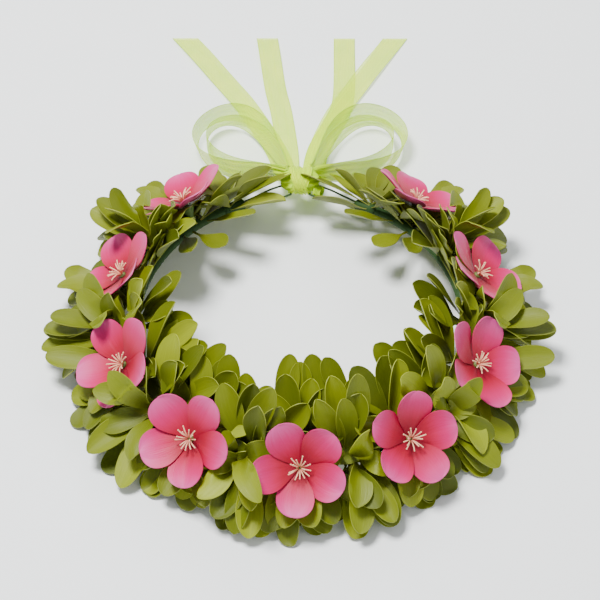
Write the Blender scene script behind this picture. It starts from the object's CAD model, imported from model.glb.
"""Flower crown: satin blossoms and cloth leaves on a taped wire band, tied with an organza bow."""
import math
import random

import bpy
import numpy as np
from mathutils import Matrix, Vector


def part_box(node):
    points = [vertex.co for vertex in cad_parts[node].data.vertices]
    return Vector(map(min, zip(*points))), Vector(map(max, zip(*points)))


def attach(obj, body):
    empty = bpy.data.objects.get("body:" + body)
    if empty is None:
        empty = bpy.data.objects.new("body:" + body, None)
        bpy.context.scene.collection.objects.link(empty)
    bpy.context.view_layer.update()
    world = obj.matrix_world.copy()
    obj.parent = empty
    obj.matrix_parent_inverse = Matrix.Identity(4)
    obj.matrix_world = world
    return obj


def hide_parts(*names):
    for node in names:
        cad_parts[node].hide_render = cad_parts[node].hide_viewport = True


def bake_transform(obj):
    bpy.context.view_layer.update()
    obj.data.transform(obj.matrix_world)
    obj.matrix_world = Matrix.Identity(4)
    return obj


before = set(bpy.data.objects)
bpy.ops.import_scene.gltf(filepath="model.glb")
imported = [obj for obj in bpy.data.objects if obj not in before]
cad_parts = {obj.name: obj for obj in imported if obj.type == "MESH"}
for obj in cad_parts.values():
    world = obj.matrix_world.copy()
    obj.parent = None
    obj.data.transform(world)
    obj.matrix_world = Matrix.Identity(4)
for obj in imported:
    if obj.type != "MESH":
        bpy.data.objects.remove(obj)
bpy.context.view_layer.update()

MM = 0.001
UP = np.array([0, 0, 1.0])
random.seed(7)

# Driving sizes: the band's come from the frame, angles are in degrees
tape_low, tape_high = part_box("band_tape")
TAPE_R = (tape_high.z - tape_low.z) / 2
BAND_R = tape_high.x - TAPE_R
BAND_Z = (tape_high.z + tape_low.z) / 2
BAND_END = 157  # from the front to each end of the band
BLOSSOMS = 9
BLOSSOM_STEP = 35
BLOSSOM_TILT = 47  # how far a blossom looks up
PETAL_R = 26.5 * MM
PETAL_SEAT = 14 * MM  # from the band's centre line, along the blossom's axis
BOWL_R = 40 * MM  # the sphere that open petals follow
PETAL_CLOTH = 0.45 * MM
LEAF_CLOTH = 0.4 * MM
RIBBON_W = 12.5 * MM
RIBBON_CLOTH = 0.25 * MM
FLOOR_CLEARANCE = 0.5 * MM


# Places on the band, by the angle from the front

def out_of(angle):
    a = math.radians(angle)
    return np.array([math.sin(a), -math.cos(a), 0.0])


def along_band(angle):
    a = math.radians(angle)
    return np.array([math.cos(a), math.sin(a), 0.0])


def band_point(angle):
    return BAND_R * out_of(angle) + BAND_Z * UP


def turned(angle, first, second):
    """Two square directions, after a turn in their plane from the first toward the second."""
    c, s = math.cos(math.radians(angle)), math.sin(math.radians(angle))
    return c * first + s * second, c * second - s * first


def blossom_axes(angle):
    """Origin on the band's centre line, and a blossom's tangent, inward and facing directions there."""
    facing, inward = turned(BLOSSOM_TILT, out_of(angle), UP)
    return band_point(angle), along_band(angle), inward, facing


def blossom_angle(i):
    return (i - (BLOSSOMS - 1) / 2) * BLOSSOM_STEP


def bowl_rise(rho, widest):
    """How far open petals rise from their seat, at a distance from the blossom's axis."""
    return BOWL_R - np.sqrt(BOWL_R ** 2 - np.minimum(rho, widest) ** 2)


# Mesh building

def unit(v):
    return v / np.maximum(np.linalg.norm(v, axis=-1, keepdims=True), 1e-12)


def full_turn(sides):
    return np.arange(sides) * 2 * math.pi / sides


def grid_normals(grid):
    return unit(np.cross(np.gradient(grid, axis=0), np.gradient(grid, axis=1)))


def smooth_path(points, count):
    """A Catmull-Rom curve through points, as a count of evenly spaced ones."""
    p = np.asarray(points, float)
    p = np.vstack([2 * p[0] - p[1], p, 2 * p[-1] - p[-2]])
    fine = []
    for k in range(1, len(p) - 2):
        a, b, c, d = p[k - 1:k + 3]
        for t in np.linspace(0, 1, 24, endpoint=False):
            square, cube = 2 * a - 5 * b + 4 * c - d, 3 * b - a - 3 * c + d
            fine.append(0.5 * (2 * b + (c - a) * t + square * t * t + cube * t ** 3))
    fine = np.array(fine + [p[-2]])
    run = np.concatenate([[0], np.cumsum(np.linalg.norm(np.diff(fine, axis=0), axis=1))])
    want = np.linspace(0, run[-1], count)
    return np.stack([np.interp(want, run, fine[:, k]) for k in range(3)], axis=1)


class Piece:
    """Collects closed bodies with per-vertex values, and makes one mesh object of them.

    The materials read the values: across (-1 to 1) and along (0 to 1) a cloth or tube, pick (one
    number for each body) and back (1 on a cloth's back).
    """

    def __init__(self, name):
        self.name, self.points, self.faces = name, [], []
        self.values = {"across": [], "along": [], "pick": [], "back": []}

    def add(self, points, faces, **values):
        first = sum(len(p) for p in self.points)
        self.points.append(points)
        self.faces += [[first + i for i in f] for f in faces]
        for key, store in self.values.items():
            store.append(np.broadcast_to(values.get(key, 0.0), len(points)))

    def cloth(self, grid, thickness, across, along, pick):
        """A closed thin shell round a grid of rows and columns, whose face looks along its normals."""
        rows, cols = grid.shape[:2]
        half = grid_normals(grid) * thickness / 2
        count = rows * cols

        def at(r, c, back):
            return back * count + r * cols + c

        faces = []
        for r in range(rows - 1):
            for c in range(cols - 1):
                faces.append([at(r, c, 0), at(r + 1, c, 0), at(r + 1, c + 1, 0), at(r, c + 1, 0)])
                faces.append([at(r, c, 1), at(r, c + 1, 1), at(r + 1, c + 1, 1), at(r + 1, c, 1)])
        rim = [(0, c) for c in range(cols)] + [(r, cols - 1) for r in range(1, rows)]
        rim += [(rows - 1, c) for c in range(cols - 2, -1, -1)]
        rim += [(r, 0) for r in range(rows - 2, 0, -1)]
        for a, b in zip(rim, rim[1:] + rim[:1]):
            faces.append([at(*a, 0), at(*b, 0), at(*b, 1), at(*a, 1)])
        self.add(np.concatenate([(grid + half).reshape(-1, 3), (grid - half).reshape(-1, 3)]), faces,
                 across=np.tile(across.ravel(), 2), along=np.tile(along.ravel(), 2), pick=pick,
                 back=np.repeat([0.0, 1.0], count))

    def skin(self, rings, **values):
        """A closed body over a row of equal rings, capped at both ends."""
        sides = len(rings[0])
        faces = []
        for k in range(len(rings) - 1):
            for c in range(sides):
                here, beside = k * sides + c, k * sides + (c + 1) % sides
                faces.append([here, beside, beside + sides, here + sides])
        last = (len(rings) - 1) * sides
        faces += [list(range(sides))[::-1], [last + c for c in range(sides)]]
        self.add(np.concatenate(rings), faces, **values)

    def tube(self, path, radii, sides, pick=0.5):
        """A closed round tube along a path, with a radius at each point."""
        path = np.asarray(path, float)
        radii = np.broadcast_to(radii, len(path))
        heading = unit(np.gradient(path, axis=0))
        turn = full_turn(sides)
        side = np.cross(heading[0], [0.31, 0.17, 0.93])
        rings = []
        for point, radius, ahead in zip(path, radii, heading):
            side = unit(side - ahead * np.dot(side, ahead))
            spokes = np.outer(np.cos(turn), side) + np.outer(np.sin(turn), np.cross(ahead, side))
            rings.append(point + radius * spokes)
        self.skin(rings, along=np.repeat(np.linspace(0, 1, len(path)), sides), pick=pick)

    def build(self, material, slot, sharp=50):
        mesh = bpy.data.meshes.new(self.name)
        mesh.from_pydata(np.concatenate(self.points).tolist(), [], self.faces)
        for key, store in self.values.items():
            attribute = mesh.attributes.new(key, "FLOAT", "POINT")
            attribute.data.foreach_set("value", np.concatenate(store).astype(np.float32))
        mesh.shade_smooth()
        mesh.set_sharp_from_angle(angle=math.radians(sharp))
        mesh.materials.append(material)
        piece = bpy.data.objects.new(self.name, mesh)
        bpy.context.scene.collection.objects.link(piece)
        return piece


def on_crown(made, node):
    """A piece that stands for one node and rides on the crown."""
    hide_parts(node)
    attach(made, "crown")


# Materials

class Nodes:
    """A short way to write a node material."""

    def __init__(self, name, **constants):
        self.material = bpy.data.materials.new(name)
        self.material.use_nodes = True
        self.tree = self.material.node_tree
        self.shader = self.tree.nodes["Principled BSDF"]
        for key, value in constants.items():
            self.shader.inputs[key.replace("_", " ")].default_value = value

    def feed(self, socket, value):
        if isinstance(value, bpy.types.NodeSocket):
            self.tree.links.new(value, socket)
        else:
            socket.default_value = value

    def new(self, kind, **inputs):
        node = self.tree.nodes.new(kind)
        for key, value in inputs.items():
            self.feed(node.inputs[key.replace("_", " ")], value)
        return node

    def value(self, name):
        node = self.tree.nodes.new("ShaderNodeAttribute")
        node.attribute_name = name
        return node.outputs["Fac"]

    def math(self, operation, *values, clamp=False):
        node = self.tree.nodes.new("ShaderNodeMath")
        node.operation, node.use_clamp = operation, clamp
        for socket, value in zip(node.inputs, values):
            self.feed(socket, value)
        return node.outputs[0]

    def plus(self, a, b, clamp=False):
        return self.math("ADD", a, b, clamp=clamp)

    def minus(self, a, b, clamp=False):
        return self.math("SUBTRACT", a, b, clamp=clamp)

    def times(self, a, b, clamp=False):
        return self.math("MULTIPLY", a, b, clamp=clamp)

    def mix(self, amount, a, b):
        node = self.tree.nodes.new("ShaderNodeMix")
        node.data_type = "RGBA"
        for index, value in ((0, amount), (6, a), (7, b)):
            self.feed(node.inputs[index], value)
        return node.outputs[2]

    def ramp(self, amount, *stops):
        node = self.tree.nodes.new("ShaderNodeValToRGB")
        self.tree.links.new(amount, node.inputs[0])
        elements = node.color_ramp.elements
        while len(elements) < len(stops):
            elements.new(0.5)
        for element, (place, colour) in zip(elements, stops):
            element.position, element.color = place, (*colour, 1)
        return node.outputs[0]

    def noise(self, vector, scale, detail=3.0, roughness=0.5):
        node = self.new("ShaderNodeTexNoise", Vector=vector, Scale=scale, Detail=detail, Roughness=roughness)
        return node.outputs[0]

    def place(self):
        return self.tree.nodes.new("ShaderNodeTexCoord").outputs["Object"]

    def bump(self, height, strength, distance):
        node = self.new("ShaderNodeBump", Height=height, Strength=strength, Distance=distance)
        self.tree.links.new(node.outputs[0], self.shader.inputs["Normal"])

    def colour(self, socket):
        self.tree.links.new(socket, self.shader.inputs["Base Color"])

    def roughness(self, low, high, by):
        spread = self.math("MULTIPLY_ADD", by, high - low, low)
        self.tree.links.new(spread, self.shader.inputs["Roughness"])


def weave(n, scale):
    """Crossed threads, from 0 to 1. The scale is two pi times the threads in a metre."""
    x, y, z = n.new("ShaderNodeSeparateXYZ", Vector=n.place()).outputs
    warp = n.math("SINE", n.times(n.plus(x, y), scale))
    weft = n.math("SINE", n.times(n.minus(x, z), scale))
    return n.math("MULTIPLY_ADD", n.plus(warp, weft), 0.25, 0.5)


def streaks(n, stretch, scale, roughness):
    """Streaks from base to tip, different on each leaf or petal."""
    x, y, z = (n.times(n.value(key), share) for key, share in zip(("across", "along", "pick"), stretch))
    return n.noise(n.new("ShaderNodeCombineXYZ", X=x, Y=y, Z=z).outputs[0], scale, 4.0, roughness)


def leaf_material():
    n = Nodes("leaf_cloth", Specular_IOR_Level=0.25)
    pick = n.value("pick")
    veins = streaks(n, (9.0, 1.1, 40.0), 1.6, 0.6)
    blotch = n.noise(n.place(), 160.0, 3.0, 0.6)
    olive = n.ramp(pick, (0.0, (0.065, 0.095, 0.002)), (0.3, (0.11, 0.145, 0.002)),
                   (0.7, (0.19, 0.235, 0.004)), (1.0, (0.33, 0.39, 0.012)))
    vein_shade, root_brown = (0.05, 0.065, 0.001, 1), (0.035, 0.03, 0.002, 1)
    yellowed, pale_back, cut_edge = (0.26, 0.25, 0.01, 1), (0.27, 0.31, 0.04, 1), (0.36, 0.4, 0.05, 1)
    root = n.minus(1.0, n.times(n.value("along"), 1.8), clamp=True)
    edge = n.times(n.minus(n.math("ABSOLUTE", n.value("across")), 0.97, clamp=True), 12.0)
    tone = n.mix(n.times(veins, 0.5), olive, vein_shade)
    tone = n.mix(n.times(root, 0.8), tone, root_brown)
    tone = n.mix(n.times(blotch, 0.2), tone, yellowed)
    tone = n.mix(n.times(n.value("back"), 0.35), tone, pale_back)
    n.colour(n.mix(edge, tone, cut_edge))
    n.roughness(0.34, 0.55, veins)
    n.bump(n.plus(veins, n.times(weave(n, 9000.0), 0.25)), 0.5, 0.0004)
    return n.material


def petal_material():
    """Satin that goes from a red heart to a pale pink tip, unevenly."""
    n = Nodes("petal_satin", Sheen_Weight=0.08, Sheen_Roughness=0.35, Specular_IOR_Level=0.3)
    streak = streaks(n, (7.0, 0.8, 30.0), 2.2, 0.65)
    reach = n.plus(n.value("along"), n.times(n.minus(streak, 0.5), 0.22))
    reach = n.plus(reach, n.times(n.minus(n.value("pick"), 0.5), 0.16))
    pink = n.ramp(reach, (0.0, (0.19, 0.0, 0.012)), (0.3, (0.35, 0.0, 0.022)), (0.46, (0.46, 0.0, 0.052)),
                  (0.7, (0.55, 0.006, 0.12)), (1.0, (0.62, 0.065, 0.26)))
    pale_back = (0.58, 0.04, 0.19, 1)
    n.colour(n.mix(n.times(n.value("back"), 0.4), pink, pale_back))
    n.roughness(0.36, 0.55, streak)
    n.bump(n.plus(streak, n.times(weave(n, 12000.0), 0.2)), 0.35, 0.0004)
    return n.material


def stamen_material():
    """Pale threads, and a dark seat under them, which has a pick above 0.9."""
    n = Nodes("stamen_thread", Specular_IOR_Level=0.4)
    grain = n.noise(n.place(), 2500.0)
    thread = n.ramp(n.value("along"), (0.0, (0.62, 0.13, 0.11)), (0.5, (0.78, 0.36, 0.23)),
                    (1.0, (0.86, 0.55, 0.33)))
    seat = n.ramp(grain, (0.3, (0.03, 0.05, 0.01)), (0.7, (0.16, 0.2, 0.04)))
    n.colour(n.mix(n.math("GREATER_THAN", n.value("pick"), 0.9), thread, seat))
    n.roughness(0.4, 0.65, grain)
    n.bump(grain, 0.3, 0.0002)
    return n.material


def organza_material():
    """Sheer ribbon. The pick is how much it covers, with more at threads, creases and selvedges."""
    n = Nodes("organza", Specular_IOR_Level=0.25)
    across, pick = n.value("across"), n.value("pick")
    threads = weave(n, 6500.0)
    soft = n.noise(n.place(), 90.0, 2.0)
    selvedge = n.times(n.minus(n.math("ABSOLUTE", across), 0.92, clamp=True), 14.0, clamp=True)
    from_crease = n.math("ABSOLUTE", n.minus(n.math("ABSOLUTE", n.plus(across, 0.12)), 0.42))
    crease = n.minus(1.0, n.times(from_crease, 26.0), clamp=True)
    layered = n.times(n.minus(pick, 0.62, clamp=True), 1.7)
    many_layers, selvedge_green = (0.3, 0.58, 0.0, 1), (0.36, 0.62, 0.0, 1)
    lime = n.mix(layered, n.ramp(soft, (0.25, (0.68, 0.94, 0.0)), (0.75, (0.82, 1.0, 0.0))), many_layers)
    n.colour(n.mix(n.times(selvedge, 0.8), lime, selvedge_green))
    cover = n.plus(pick, n.times(threads, 0.14))
    cover = n.plus(cover, n.times(crease, 0.12))
    cover = n.plus(cover, n.times(selvedge, 0.35), clamp=True)
    n.tree.links.new(cover, n.shader.inputs["Alpha"])
    n.roughness(0.35, 0.5, soft)
    n.bump(threads, 0.15, 0.0002)
    return n.material


def wound_material(name, dark, light, turns, rough=0.75):
    """Crepe tape, paper or matt plastic: fine wrinkles over broader unevenness."""
    n = Nodes(name, Specular_IOR_Level=0.3)
    wrinkle = n.noise(n.place(), 900.0, 4.0, 0.65)
    n.colour(n.mix(n.math("MULTIPLY_ADD", wrinkle, 0.6, 0.5, clamp=True), dark, light))
    n.roughness(rough - 0.15, rough + 0.1, wrinkle)
    n.bump(n.plus(wrinkle, n.noise(n.place(), turns, 2.0)), 0.5, 0.0005)
    return n.material


def steel_material():
    n = Nodes("drawn_steel", Metallic=1.0)
    scratch = n.noise(n.place(), 1800.0, 3.0)
    n.colour(n.ramp(scratch, (0.3, (0.32, 0.32, 0.33)), (0.7, (0.55, 0.55, 0.56))))
    n.roughness(0.25, 0.45, scratch)
    n.bump(scratch, 0.1, 0.0001)
    return n.material


def floor_material():
    n = Nodes("studio_floor", Specular_IOR_Level=0.2, Roughness=0.8)
    grain = n.noise(n.place(), 40.0, 2.0)
    n.colour(n.ramp(grain, (0.0, (0.9, 0.925, 0.925)), (1.0, (0.93, 0.945, 0.945))))
    return n.material


# Leaves

def cloth_shares(rows, cols, rounding):
    """Shares across (-1 to 1) and along (0 to 1) a cloth. Rounding crowds the rows toward its tip."""
    v = np.linspace(0, 1, rows)
    v = (1 - rounding) * v + rounding * np.sin(math.pi / 2 * v)
    return np.meshgrid(np.linspace(-1, 1, cols), v)


def paddle(v, widest, stem, base, tip=0.12):
    """Half width, as a share of the widest, along a cloth paddle with a narrow base and a round tip."""
    w = np.clip((v - stem) / (1 - stem), 0, 1)
    opening = np.sin(np.pi / 2 * np.clip(w / widest, 0, 1)) ** 1.25
    ending = np.sqrt(1 - np.clip((w - widest) / (1 - widest), 0, 1) ** 2.2)
    return np.maximum(base + (1 - base) * opening, base) * np.maximum(ending, tip)


PETAL_MARGIN = 4 * MM  # past the petals' reach, where leaves stop being moved
OVER_PETALS = 4.5 * MM
UNDER_HEART, UNDER_TIPS = 1.2 * MM, 3.4 * MM  # room left below the heart, and more below the tips
LOWEST_OVER = 10 * MM  # what starts lower than this isn't lifted
HIGHEST_UNDER = 16 * MM  # what stands higher than this above the petals isn't pressed
FLOOR_SPREAD, FLOOR_SOFTNESS = 1.5, 2.5 * MM
LEAF_ROWS, LEAF_COLS, LEAF_ROUNDING = 19, 9, 0.65
LEAF_WIDEST = (0.58, 0.74)  # share of the length where a leaf is widest, from and to


def keep_off_petals(points, over):
    """Lifts points to lie over any petals they would cut, or presses them down below the petals."""
    for i in range(BLOSSOMS):
        origin, tangent, inward, facing = blossom_axes(blossom_angle(i))
        local = points - origin
        height = local @ facing
        rho = np.hypot(local @ tangent, local @ inward)
        inside = np.clip((PETAL_R + PETAL_MARGIN - rho) / PETAL_MARGIN, 0, 1)
        petals = PETAL_SEAT + bowl_rise(rho, PETAL_R)
        if over:
            limit = petals + OVER_PETALS
            cuts = (height > LOWEST_OVER) & (height < limit)
        else:
            limit = petals - UNDER_HEART - UNDER_TIPS * np.minimum(rho / PETAL_R, 1) ** 2
            cuts = (height > limit) & (height < petals + HIGHEST_UNDER)
        points = points + (np.where(cuts, limit - height, 0) * inside)[..., None] * facing
    return points


def keep_off_floor(points):
    """Bends points smoothly up from the surface, onto a level a little above it."""
    level = FLOOR_CLEARANCE + random.uniform(0, FLOOR_SPREAD) * MM
    z = points[..., 2] - level
    points[..., 2] = level + 0.5 * (z + np.sqrt(z * z + FLOOR_SOFTNESS ** 2))
    return points


def leaf_axes(angle, gamma, psi, roll):
    """A leaf's start on the tape, and its directions along the spine, out of its back and across."""
    origin, tangent, inward, facing = blossom_axes(angle)
    ray = turned(psi, tangent, inward)[0]
    spine, away = turned(gamma, facing, ray)
    away, wide = turned(roll, away, np.cross(spine, away))
    start = origin + unit(spine - tangent * np.dot(spine, tangent)) * TAPE_R
    return start, spine, away, wide


def add_leaf(piece, angle, gamma, psi, length, width, bend, cup, roll=0, stem=0.08, over=False, pick=None):
    """One leaf, rooted on the band at an angle from the front. Turns are in degrees and sizes in mm.

    gamma is its lean from the blossom axis there, and psi the side that it leans to. bend curls
    the tip away from that axis, cup lifts the edges and roll turns the face. stem is the share
    of the length that is bare stem, over lays the leaf over petals and not under them, and pick
    is its shade, from 0 for dark to 1 for light.
    """
    start, spine, away, wide = leaf_axes(angle, gamma, psi, roll)
    uu, vv = cloth_shares(LEAF_ROWS, LEAF_COLS, LEAF_ROUNDING)
    v = vv[:, 0]
    slope = math.radians(bend) * (v - 0.3) * 2
    step = np.diff(v, prepend=0) * length * MM
    depth, run = np.cumsum(np.sin(slope) * step), np.cumsum(np.cos(slope) * step)
    half = (paddle(v, random.uniform(*LEAF_WIDEST), stem, 0.1) * width / 2 * MM)[:, None]
    phase, ruffle = random.uniform(0, 6.3), random.uniform(0.03, 0.12)
    lift = (cup * np.abs(uu) ** 1.8 + ruffle * uu * np.abs(uu) * np.sin(7 * vv + phase)) * half
    grid = start + spine * run[:, None, None]
    grid = grid + away * (depth[:, None] - lift)[..., None] + wide * (uu * half)[..., None]
    grid = keep_off_floor(keep_off_petals(grid, over))
    piece.cloth(grid, LEAF_CLOTH, uu, vv, pick=random.random() if pick is None else pick)


SPRAYS = 2 * BLOSSOMS + 1
SPRAY_STEP = BLOSSOM_STEP / 2
LAST_SPRAY = SPRAYS // 2
LAST_SPRAY_ANGLE = 154
BARE_INSIDE = 95  # past this angle the band's inner side is bare
ARCHING = 20  # leaves that lean less than this arch over the petals
TWIGS = 3

# Lean from the blossom axis, side, length, width and bend of each leaf
UNDER_BLOSSOM = [
    (77, -52, 42, 13, 6), (76, -71, 44, 13.5, 8), (74, -90, 45, 13.5, 8), (76, -109, 44, 13.5, 8),
    (77, -128, 42, 13, 6), (64, -61, 37, 13, 14), (62, -81, 38, 13.5, 14), (63, -101, 38, 13.5, 14),
    (64, -121, 37, 13, 14), (94, -66, 35, 13, -8), (97, -92, 35, 13, -8), (94, -118, 35, 13, -8),
    (78, -26, 39, 13, 8), (78, -154, 39, 13, 8), (84, 8, 36, 12.5, 8), (84, 172, 36, 12.5, 8),
    (68, 38, 37, 12.5, 6), (68, 142, 37, 12.5, 6), (76, 63, 44, 13, 2), (82, 81, 47, 13, -4),
    (80, 99, 47, 13, -4), (76, 118, 44, 13, 2), (98, 70, 36, 12.5, -2), (100, 108, 36, 12.5, -2),
]
BETWEEN_BLOSSOMS = [
    (53, -88, 46, 13.5, 16), (64, -64, 45, 13.5, 10), (62, -112, 45, 13.5, 12), (78, -78, 44, 13.5, 2),
    (79, -99, 44, 13.5, 2), (90, -62, 38, 13, -8), (92, -118, 38, 13, -8), (106, -90, 30, 12.5, -12),
    (38, -74, 37, 13.5, 26), (36, -108, 36, 13, 28), (22, 62, 37, 13, 24), (28, 150, 33, 13, 30),
    (26, -20, 32, 12.5, 30), (46, 84, 43, 13, 12), (50, 112, 42, 13, 12), (62, 66, 42, 13, 8),
    (68, 94, 46, 13, 2), (76, 118, 42, 13, 2), (84, 76, 43, 13, -2), (98, 100, 37, 12.5, 0),
    (72, 26, 37, 12.5, 8), (72, 156, 37, 12.5, 8), (80, -28, 40, 13, 6), (80, -152, 40, 13, 6),
]
BAND_END_LEAVES = [
    (84, 8, 44, 13, 4), (74, -14, 37, 12.5, 4), (62, 34, 33, 12.5, 10), (108, -50, 30, 12, -6),
    (72, -120, 38, 13.5, 8), (66, 130, 34, 12.5, 8), (90, -95, 36, 13.5, -4), (48, -75, 32, 12.5, 18),
    (96, 22, 34, 12, 2), (60, -40, 30, 12, 8), (58, 170, 34, 13, 10), (76, -150, 38, 13, 6),
]
# Leaves that stand proud of the rest, by their spray's place from the front: the same row, led by
# the leaf's angle on the band and ended by its share of bare stem. FREE_BOTH is mirrored to the left.
FREE_ONE = {
    0: [(-7, 92, 89, 56, 13, -6, 0.2), (1, 91, 91, 52, 13.5, -4, 0.18), (9, 92, 92, 56, 13, -6, 0.22)],
    3: [(24, 90, 100, 55, 11.5, -8, 0.26), (19, 60, 82, 50, 14, 6, 0.1)],
    4: [(50, 84, 98, 50, 14.5, 0, 0.1), (53, 8, 15, 36, 13, 44, 0.05)],
    -1: [(-17, 12, -42, 45, 13.5, 52, 0.05)],
    -2: [(-20, 58, 72, 50, 14, 6, 0.1), (-26, 82, 104, 50, 13.5, -4, 0.16)],
    -3: [(-50, 84, 82, 50, 14, 0, 0.1), (-54, 8, 172, 42, 13.5, 52, 0.05), (-56, 16, 216, 40, 13, 46, 0.05)],
}
FREE_BOTH = {
    4: [(74, 54, -60, 50, 13.5, 0, 0.1), (66, 86, 110, 46, 13.5, -2, 0.1)],
    5: [(89, 4, -2, 44, 13.5, 56, 0.05), (86, 10, -24, 42, 13.5, 50, 0.05), (87, 8, 162, 36, 13, 44, 0.05),
        (86, 48, -78, 48, 14, 2, 0.1), (90, 42, -102, 47, 14, 2, 0.1), (88, 28, -90, 45, 13, 4, 0.16)],
    6: [(100, 56, -62, 48, 14, 4, 0.08), (110, 54, -118, 48, 14, 4, 0.08)],
    7: [(121, 6, 176, 42, 13.5, 50, 0.05), (124, 12, -16, 38, 13, 46, 0.05), (119, 40, 80, 42, 13, 10, 0.1),
        (121, 32, -86, 46, 13, 4, 0.16), (123, 22, -92, 46, 13, 2, 0.16), (125, 40, -96, 46, 13, 4, 0.16),
        (119, 25, -30, 46, 12, -4, 0.2), (127, 22, 205, 42, 12, 4, 0.2), (117, 52, 100, 38, 12.5, 6, 0.1)],
    8: [(134, 56, -64, 46, 14, 4, 0.08), (144, 54, -116, 46, 14, 4, 0.08), (137, 116, 84, 27, 13, -6, 0.2),
        (144, 96, 60, 34, 12.5, -4, 0.1), (133, 92, 118, 34, 12.5, -4, 0.1)],
    9: [(153, 44, -84, 32, 13.5, 6, 0.08), (154, 58, -92, 36, 13.5, 8, 0.08)],
}


def add_twig(piece, angle):
    """A bare, bent end of stem wire among the leaves."""
    origin, tangent, inward, facing = blossom_axes(angle)
    psi = random.choice((-1, 1)) * random.uniform(-30, 30) - 90
    ray = turned(psi, tangent, inward)[0]
    length, droop = random.uniform(26, 36) * MM, random.uniform(0.2, 0.7)
    t = np.linspace(0, 1, 10)[:, None]
    rise = 2 * MM + length * (0.35 * t - 0.4 * droop * t ** 2)
    path = origin + facing * rise + ray * (length * t)
    piece.tube(keep_off_petals(path, False), 0.35 * MM, sides=6, pick=0.1)


def outer_share(angle, psi):
    """Outer leaves are a little shorter at the front and longer at the sides."""
    if psi > -40:
        return 1
    return 0.94 if abs(angle) < 45 else 1.06 if abs(angle) < 115 else 1


def spray_leaves(place):
    """add_leaf's arguments, as far as roll, for each leaf of a spray's rows, with some variation."""
    angle = place * SPRAY_STEP
    at_end = abs(place) == LAST_SPRAY
    rows = BAND_END_LEAVES if at_end else BETWEEN_BLOSSOMS if place % 2 else UNDER_BLOSSOM
    root = math.copysign(LAST_SPRAY_ANGLE, angle) if at_end else angle
    spread = 1.0 if at_end else 4.0
    vary = random.uniform
    for gamma, psi, length, width, bend in rows:
        inner = gamma > 74 and psi > 20
        if inner and abs(angle) > BARE_INSIDE and not at_end:
            continue
        yield (
            root + vary(-1, 1) * spread,
            gamma + vary(-5, 5),
            (psi if angle >= 0 else 180 - psi) + vary(-7, 7),
            length * vary(0.9, 1.04) * outer_share(angle, psi),
            width * vary(0.98, 1.18),
            bend + vary(-8, 12),
            vary(0.15, 0.6),
            vary(-20, 20),
        )


def free_leaves(place):
    """The rows of a spray's placed leaves, mirrored where they stand on both sides."""
    rows = list(FREE_ONE.get(place, []))
    for angle, gamma, psi, *rest in FREE_BOTH.get(abs(place), []):
        rows.append((angle, gamma, psi, *rest) if place > 0 else (-angle, gamma, 180 - psi, *rest))
    return rows


def make_sprays(material):
    for i in range(SPRAYS):
        place = i - LAST_SPRAY
        name = f"spray_{i + 1:02d}"
        piece = Piece(f"{name}_leaves")
        for leaf in spray_leaves(place):
            add_leaf(piece, *leaf)
        for *leaf, stem in free_leaves(place):
            arches = leaf[1] < ARCHING
            add_leaf(piece, *leaf, cup=0.25, stem=stem, over=arches, pick=random.uniform(0.3, 0.8))
        for _ in range(TWIGS):
            add_twig(piece, place * 0.98 * SPRAY_STEP + random.uniform(-5, 5))
        on_crown(piece.build(material, "leaf_fabric"), name)


# Blossoms

PETALS = 5
PETAL_SPIN = [20, 57, 33, 8, 45, 61, 14, 40, 27]
PETAL_ROWS, PETAL_COLS, PETAL_ROUNDING = 23, 13, 0.6
PETAL_START = 1.7 * MM
PETAL_HALF_W = 10.6 * MM
ABOVE_SEAT = 0.6 * MM
THREADS = 15
GOLDEN_ANGLE = 137.5
SEAT_PROFILE = ((-3.0, 1.2), (0.0, 1.9), (0.8, 2.1), (1.5, 1.7), (1.9, 0.9), (2.05, 0.15))
BEAD_PROFILE = ((-0.6, 0.1), (-0.4, 0.32), (0.0, 0.46), (0.4, 0.38), (0.6, 0.1))


def add_petal(piece, angle, spin):
    """A cupped petal with one raised side, a soft middle crease and a ruffled tip that turns down."""
    origin, tangent, inward, facing = blossom_axes(angle)
    ray, side = turned(spin, tangent, inward)
    uu, vv = cloth_shares(PETAL_ROWS, PETAL_COLS, PETAL_ROUNDING)
    share = paddle(vv[:, 0], 0.6, 0, 0.2, 0.1)[:, None]
    y = uu * share * PETAL_HALF_W * random.uniform(0.95, 1.04)
    x = PETAL_START + vv * (PETAL_R - PETAL_START) * random.uniform(0.96, 1.02)
    share = share / share.max()
    phase = random.uniform(0, 6.3)
    cup = random.uniform(1.2, 2.4)
    rise = bowl_rise(np.hypot(x, y), 0.9 * BOWL_R) * random.uniform(0.85, 1.15)
    z = cup * share * np.abs(uu) ** 2.2 * vv * (1 - 0.4 * vv)
    z = z + 1.1 * np.sin(np.pi * vv) * (1 - uu ** 2)
    z = z + uu * np.sqrt(np.sin(np.pi * vv))
    z = z - 1.2 * np.exp(-(uu / 0.14) ** 2) * vv * (1 - vv)
    z = z + 0.5 * share * np.sin(5 * uu + phase) * vv ** 3
    z = z - random.uniform(0.2, 1.8) * np.clip((vv - 0.75) / 0.25, 0, 1) ** 2
    z = PETAL_SEAT + ABOVE_SEAT + rise + z * MM
    grid = origin + ray * x[..., None] + side * y[..., None] + facing * z[..., None]
    piece.cloth(grid, PETAL_CLOTH, uu, vv, pick=random.random())


def add_profile(piece, start, direction, profile, sides, pick):
    """A turned shape along a direction, from pairs of height and radius in mm."""
    path = [start + direction * height * MM for height, _ in profile]
    piece.tube(path, np.array([radius for _, radius in profile]) * MM, sides, pick)


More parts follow.
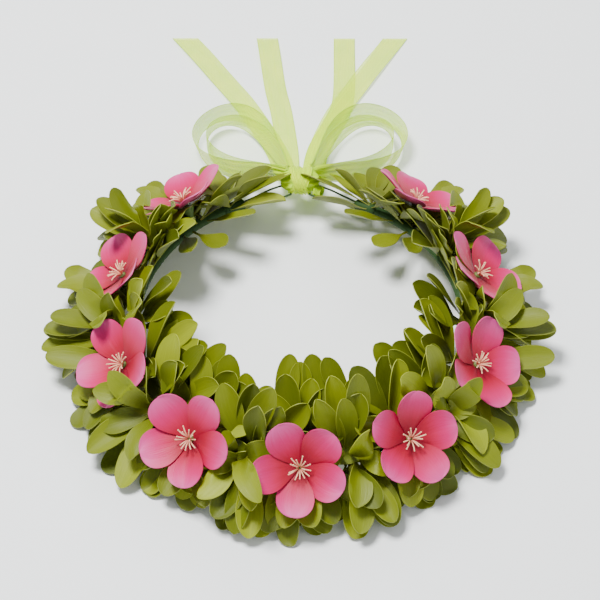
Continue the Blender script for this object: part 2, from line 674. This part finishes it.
def make_tuft(i):
    """A dark seat with a splayed tuft of fine threads, each with a small tip."""
    origin, tangent, inward, facing = blossom_axes(blossom_angle(i))
    tuft = Piece(f"stamen_tuft_{i + 1}")
    base = origin + facing * (PETAL_SEAT + ABOVE_SEAT)
    add_profile(tuft, base, facing, SEAT_PROFILE, 14, 1.0)
    for k in range(THREADS):
        ray = turned(k * GOLDEN_ANGLE + random.uniform(-8, 8), tangent, inward)[0]
        splay = math.radians(16 + 34 * math.sqrt(k / (THREADS - 1)))
        length = random.uniform(5.6, 8.2) * MM
        t = np.linspace(0, 1, 7)[:, None]
        lean = splay * (0.35 + 0.75 * t)
        path = base + facing * (1.0 * MM + length * t * np.cos(lean))
        path = path + ray * (0.7 * MM + length * t * np.sin(lean))
        tuft.tube(path, (0.22 + 0.14 * np.sin(2.6 * t[:, 0])) * MM, sides=7, pick=0.2)
        add_profile(tuft, path[-1], unit(path[-1] - path[-2]), BEAD_PROFILE, 8, 0.2)
    return tuft


def make_blossoms(satin, thread, plastic):
    for i in range(BLOSSOMS):
        head = Piece(f"blossom_{i + 1}")
        for k in range(PETALS):
            add_petal(head, blossom_angle(i), PETAL_SPIN[i] + k * 360 / PETALS)
        on_crown(head.build(satin, "petal_satin"), f"petals_{i + 1}")
        on_crown(make_tuft(i).build(thread, "stamen"), f"stamens_{i + 1}")
        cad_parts[f"calyx_{i + 1}"].data.materials[0] = plastic


# Band

TAPE_POINTS = 420
TAPE_LAP = 2.6  # degrees of the band to one turn of tape
BINDING_BACK, BINDING_STEP = 5, 0.25  # degrees of the band under the binding, and to each point
BINDING_PAST = 5 * MM
BINDING_TAPER = 30  # the point from which it thins
EYE_LEG = ((3, 1.2), (12, 2.4), (22, 3.9))  # mm past the band's end, and out from the eye's middle
EYE_REACH, EYE_R = 30 * MM, 4 * MM
EYE_WIRE_R = 0.6 * MM
EYE_POINTS = 90


def make_tape(tape):
    """Tape wound round the band, a little thicker at each turn's lap."""
    angles = np.linspace(-BAND_END, BAND_END, TAPE_POINTS)
    lap = (angles / TAPE_LAP) % 1.0
    band = Piece("wound_tape")
    band.tube([band_point(a) for a in angles], TAPE_R * (0.95 + 0.07 * lap), sides=14)
    on_crown(band.build(tape, "floral_tape", sharp=60), "band_tape")


def make_bindings(tape):
    """Thicker winding over each end of the band and the foot of its eye, thinning past the end."""
    low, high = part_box("end_bindings")
    binding = Piece("wound_bindings")
    for side in (-1, 1):
        steps = np.arange(0, BINDING_BACK + BINDING_STEP, BINDING_STEP)
        on_band = np.array([band_point(side * (BAND_END - BINDING_BACK + step)) for step in steps])
        ahead = along_band(side * BAND_END) * side
        past_end = on_band[-1] + np.outer(np.linspace(0.3 * MM, BINDING_PAST, 14), ahead)
        k = np.arange(len(on_band) + len(past_end))
        lap, taper = (k / 4) % 1.0, 1 - 0.12 * np.maximum(k - BINDING_TAPER, 0)
        radii = (high.z - low.z) / 2 * (0.93 + 0.07 * lap) * taper
        binding.tube(np.concatenate([on_band, past_end]), radii, sides=16)
    on_crown(binding.build(tape, "floral_tape", sharp=60), "end_bindings")


def eye_path(side):
    """Out along one leg, round the eye's end and back along the other."""
    angle = side * BAND_END
    end, ahead, beside = band_point(angle), along_band(angle) * side, out_of(angle)
    route = [(far * MM, -apart * MM) for far, apart in EYE_LEG]
    for a in np.radians(np.linspace(-80, 80, 9)):
        route.append((EYE_REACH + EYE_R * math.cos(a), EYE_R * math.sin(a)))
    route += [(far * MM, apart * MM) for far, apart in reversed(EYE_LEG)]
    return smooth_path([end + ahead * far + beside * apart for far, apart in route], EYE_POINTS)


def make_eyes(paper):
    """The paper-covered tie eye past each end of the band."""
    for side, name in ((-1, "left_eye_wire"), (1, "right_eye_wire")):
        path = eye_path(side)
        lap = (np.arange(len(path)) / 3) % 1.0
        eye = Piece(f"{name}_paper")
        eye.tube(path, EYE_WIRE_R * (0.95 + 0.1 * lap), sides=10)
        on_crown(eye.build(paper, "eye_wire"), name)


# Bow

LOOP_ROOT = np.array([3.5, 104, 28]) * MM
LOOP_DIRECTION = 48  # from the right toward the back
LOOP_LOW = 10 * MM
LOOP_OPEN = 26  # how much of the teardrop is left off at each side of the knot
LOOP_ROWS, TAIL_ROWS, RIBBON_COLS = 72, 64, 17
# Name, reach, spread, lean of the ribbon's width and phase of its twist
LOOPS = (("outer", 76 * MM, 30 * MM, 0.12, 0.4), ("inner", 70 * MM, 22 * MM, -0.18, 1.3))
# Plan of each tail in mm, mirrored for the left ones, and the heights at the same points
TAIL_HEIGHTS = (17, 10, 3.5, 0.3, 0.3, 0.3, 0.3)
TAIL_PLANS = {
    "left_outer": [(6.6, 107.5), (7.5, 114), (9, 125), (15, 145), (29, 172), (43, 194), (70, 233)],
    "left_inner": [(6.6, 107.5), (6.8, 114), (7, 125), (7.5, 145), (11, 172), (15, 194), (20, 233)],
    "right_inner": [(6.6, 107.5), (6.8, 114), (7.5, 125), (11, 145), (21, 167), (26, 186), (27, 233)],
    "right_outer": [(6.6, 107.5), (7.2, 114), (8, 125), (11.5, 145), (22, 172), (36, 196), (58, 233)],
}
LOOP_COVER, TAIL_COVER, WRAP_COVER, EYE_RING_COVER, KNOT_COVER = 0.43, 0.36, 0.5, 0.9, 0.95


def ribbon_grid(path, across, widths, pleat, cols=RIBBON_COLS):
    """Rows of points across a ribbon that follows a path. The pleat is each row's depth of gathers."""
    u = np.linspace(-1, 1, cols)
    normal = unit(np.cross(unit(np.gradient(path, axis=0)), across))
    folds = np.cos(u * math.pi * 3.5)
    sideways = across[:, None] * (u[None, :, None] * widths[:, None, None] / 2)
    return path[:, None] + sideways + normal[:, None] * (folds[None, :, None] * pleat[:, None, None])


def squared(across, path):
    """Directions across a path, made square to it."""
    heading = unit(np.gradient(path, axis=0))
    return unit(across - heading * (across * heading).sum(1, keepdims=True))


def add_ribbon(piece, grid, cover):
    """Ribbon on a grid of rows. The cover, from 0 to 1, is how little shows through it."""
    rows, cols = grid.shape[:2]
    uu, vv = np.meshgrid(np.linspace(-1, 1, cols), np.linspace(0, 1, rows))
    piece.cloth(grid, RIBBON_CLOTH, uu, vv, pick=cover)


def ribbon_length(grid):
    """The length of a ribbon along its middle."""
    return float(np.linalg.norm(np.diff(grid[:, grid.shape[1] // 2], axis=0), axis=1).sum())


def make_ribbon(name, grid, cover, organza):
    piece = Piece(name)
    add_ribbon(piece, grid, cover)
    return piece.build(organza, "organza")


def loop_grid(side, reach, spread, lean, twist):
    """A teardrop from the knot and back that sinks toward its far end, gathered where it starts."""
    t = np.radians(np.linspace(LOOP_OPEN, 360 - LOOP_OPEN, LOOP_ROWS))
    run = reach * (1 - np.cos(t)) / 2
    off = spread * np.sin(t) * np.abs(np.sin(t / 2)) ** 1.5
    share = run / reach
    drop = (LOOP_ROOT[2] - LOOP_LOW) * np.sin(np.minimum(np.pi / 2, np.radians(110) * share))
    c, s = math.cos(math.radians(LOOP_DIRECTION)), math.sin(math.radians(LOOP_DIRECTION))
    path = LOOP_ROOT + np.stack([run * c - off * s, run * s + off * c, -drop], axis=1)
    wave = 0.18 * np.sin(t * 2 + twist)
    across = np.stack([lean * c + wave, lean * s - wave, np.ones_like(t)], axis=1)
    widths = RIBBON_W * (0.72 + 0.32 * np.clip(share * 4, 0, 1))
    pleat = 1.2 * MM * np.clip(1 - share * 4, 0, 1) + 0.12 * MM
    path[:, 0] *= side
    across[:, 0] *= side
    return ribbon_grid(path, squared(across, path), widths, pleat)


def make_loops(organza):
    for side, word in ((-1, "left"), (1, "right")):
        for name, *shape in LOOPS:
            grid = loop_grid(side, *shape)
            length = ribbon_length(grid)
            made = make_ribbon(f"{word}_{name}_ribbon_loop", grid, LOOP_COVER, organza)
            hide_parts(f"{word}_{name}_loop")
            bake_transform(made)


def tail_path(side, plan, upper):
    """Down from the knot to the surface. The upper tail lies 1 mm higher, all but its end."""
    points = []
    for k, ((x, y), z) in enumerate(zip(plan, TAIL_HEIGHTS)):
        step = 1.0 if upper and k < len(plan) - 1 else 0
        points.append((side * x, y, z + 0.4 + step))
    return smooth_path(np.array(points) * MM, TAIL_ROWS)


def tail_grid(side, plan, upper):
    """A tail whose rows turn from square to the path, to level with its straight cut."""
    path = tail_path(side, plan, upper)
    share = np.linspace(0, 1, len(path))
    ahead = unit(np.gradient(path, axis=0))
    square = np.stack([ahead[:, 1], -ahead[:, 0], np.zeros(len(path))], axis=1)
    blend = np.clip((1 - share) * 6, 0, 1)
    across = unit(square * blend[:, None] + np.outer(1 - blend, [1.0, 0.0, 0.0]))
    slant = np.where(blend < 1, np.abs((across * square).sum(1)), 1)
    widths = RIBBON_W * (0.75 + 0.27 * np.clip(share * 5, 0, 1)) / slant
    grid = ribbon_grid(path, across, widths, 0.9 * MM * np.clip(1 - share * 4, 0, 1))
    ripple = 0.5 * MM * (1 + np.sin(share * 17 + side)) * np.clip(share * 3 - 1, 0, 1)
    grid[..., 2] = np.maximum(grid[..., 2] + ripple[:, None], FLOOR_CLEARANCE)
    return grid


def make_tails(organza):
    for name, plan in TAIL_PLANS.items():
        word, layer = name.split("_")
        side = -1 if word == "left" else 1
        grid = tail_grid(side, plan, layer == "outer")
        length = ribbon_length(grid)
        made = make_ribbon(f"{name}_ribbon_tail", grid, TAIL_COVER, organza)
        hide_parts(f"{name}_tail")
        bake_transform(made)


KNOT_RINGS, KNOT_SIDES = 33, 56
WRAP_ROWS, EYE_RING_ROWS = 72, 48
# Lean and width of each wrap
WRAPS = ((0.25, 8.5), (-0.3, 6.5))


def add_gathers(knot, centre, half):
    """The ribbons pressed together into a pleated lens, from side to side."""
    turn = full_turn(KNOT_SIDES)
    rings = []
    for s in np.linspace(-1, 1, KNOT_RINGS):
        pleats = 1 + 0.09 * np.cos(9 * turn + 2.2 * s) * (0.4 + abs(s)) + 0.05 * np.sin(4 * turn - 3 * s)
        r = half[1] * (0.34 + 0.6 * (1 - s ** 2) ** 0.8) * pleats * (0.6 if abs(s) == 1 else 1)
        middle = centre + s * half[0] * 1.02 * np.array([1, 0, 0])
        rings.append(middle + np.outer(r * np.cos(turn), [0, 1, 0]) + np.outer(r * np.sin(turn), UP))
    knot.skin(rings, pick=KNOT_COVER)


def add_wrap(knot, ring, across, width, pleat, cover, cols):
    """A gathered band of ribbon wound round a ring of points."""
    count = len(ring)
    rows_across = squared(np.tile(across, (count, 1)), ring)
    grid = ribbon_grid(ring, rows_across, np.full(count, width * MM), np.full(count, pleat * MM), cols)
    add_ribbon(knot, grid, cover)


def add_middle_wraps(knot, centre, half):
    """Two gathered bands round the middle of the lens, crossing, each a little over one turn."""
    for wrap, (lean, width) in enumerate(WRAPS):
        a = np.linspace(0, 2 * math.pi * 1.06, WRAP_ROWS) + 1.4 * wrap
        r = half[1] * (1.0 + 0.06 * wrap) + 0.35 * MM * np.sin(3 * a)
        ring = centre + np.stack([lean * half[0] * np.sin(a + 0.5), r * np.cos(a), r * np.sin(a)], axis=1)
        add_wrap(knot, ring, np.array([1.0, 0, 0]), width, 0.4, WRAP_COVER, 13)


def add_eye_ring(knot):
    """A small turn of ribbon round the right eye's wires, next to the knot."""
    turn = np.linspace(0, 2 * math.pi * 1.1, EYE_RING_ROWS)
    wire_way = -along_band(BAND_END)
    around = np.outer(np.cos(turn), out_of(BAND_END)) + np.outer(np.sin(turn), UP)
    ring = np.array([10 * MM, 95.6 * MM, BAND_Z]) + around * 3.2 * MM + np.outer(turn * 0.15 * MM, wire_way)
    add_wrap(knot, ring, wire_way, 4.5, 0.35, EYE_RING_COVER, 9)


def make_knot(organza):
    low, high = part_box("bow_knot")
    centre, half = np.array((low + high) / 2), np.array((high - low) / 2)
    knot = Piece("bow_knot_wraps")
    add_gathers(knot, centre, half)
    add_middle_wraps(knot, centre, half)
    add_eye_ring(knot)
    on_crown(knot.build(organza, "organza"), "bow_knot")


# Studio

# Name, place, size and power of each lamp
LAMPS = (
    ("key", (-0.4, 0.1, 1.6), 0.45, 56),
    ("fill", (1.1, -0.9, 1.0), 1.0, 5),
    ("back", (0.2, 1.3, 1.2), 0.8, 8),
)
LAMP_AIM = Vector((0, 0, 0.02))
SKY_COLOUR, SKY_STRENGTH = (0.93, 0.97, 1.0, 1), 0.55
CAMERA_ELEVATION = math.radians(53)
CAMERA_DISTANCE = 1.6
CAMERA_AIM_UP = 13.9 * MM
CAMERA_ANGLE = math.radians(11.89)


def make_studio():
    bpy.ops.mesh.primitive_plane_add(size=6, location=(0, 0.4, 0))
    floor = bpy.context.object
    floor.name = "studio_floor"
    floor.data.materials.append(floor_material())
    world = bpy.data.worlds.new("studio")
    bpy.context.scene.world = world
    world.use_nodes = True
    sky = world.node_tree.nodes["Background"].inputs
    sky["Color"].default_value, sky["Strength"].default_value = SKY_COLOUR, SKY_STRENGTH
    for name, place, size, power in LAMPS:
        light = bpy.data.lights.new(name, "AREA")
        light.energy, light.size = power, size
        lamp = bpy.data.objects.new(name, light)
        lamp.location = place
        lamp.rotation_euler = (LAMP_AIM - Vector(place)).to_track_quat("-Z", "Y").to_euler()
        bpy.context.scene.collection.objects.link(lamp)


def make_camera():
    """Looks along +Y and down, aimed so that the crown and the ends of its bow are in the picture."""
    back = Vector((0, -math.cos(CAMERA_ELEVATION), math.sin(CAMERA_ELEVATION)))
    view_up = Vector((0, math.sin(CAMERA_ELEVATION), math.cos(CAMERA_ELEVATION)))
    aim = Vector((0, 0, BAND_Z)) + view_up * CAMERA_AIM_UP
    camera = bpy.data.objects.new("camera", bpy.data.cameras.new("camera"))
    camera.location = aim + back * CAMERA_DISTANCE
    camera.rotation_euler = (-back).to_track_quat("-Z", "Y").to_euler()
    camera.data.angle = CAMERA_ANGLE
    camera.data.clip_end = 10
    bpy.context.scene.collection.objects.link(camera)
    bpy.context.scene.camera = camera


make_camera()
make_studio()
tape_cloth = wound_material("floral_tape", (0.004, 0.02, 0.003, 1), (0.02, 0.06, 0.008, 1), 500.0)
paper_cover = wound_material("paper_wire", (0.01, 0.022, 0.008, 1), (0.035, 0.07, 0.02, 1), 900.0, 0.6)
calyx_plastic = wound_material("calyx_plastic", (0.04, 0.08, 0.01, 1), (0.1, 0.17, 0.03, 1), 700.0, 0.5)
organza_cloth = organza_material()
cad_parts["band_wire"].data.materials[0] = steel_material()
make_tape(tape_cloth)
make_bindings(tape_cloth)
make_eyes(paper_cover)
make_sprays(leaf_material())
make_blossoms(petal_material(), stamen_material(), calyx_plastic)
make_knot(organza_cloth)
make_loops(organza_cloth)
make_tails(organza_cloth)
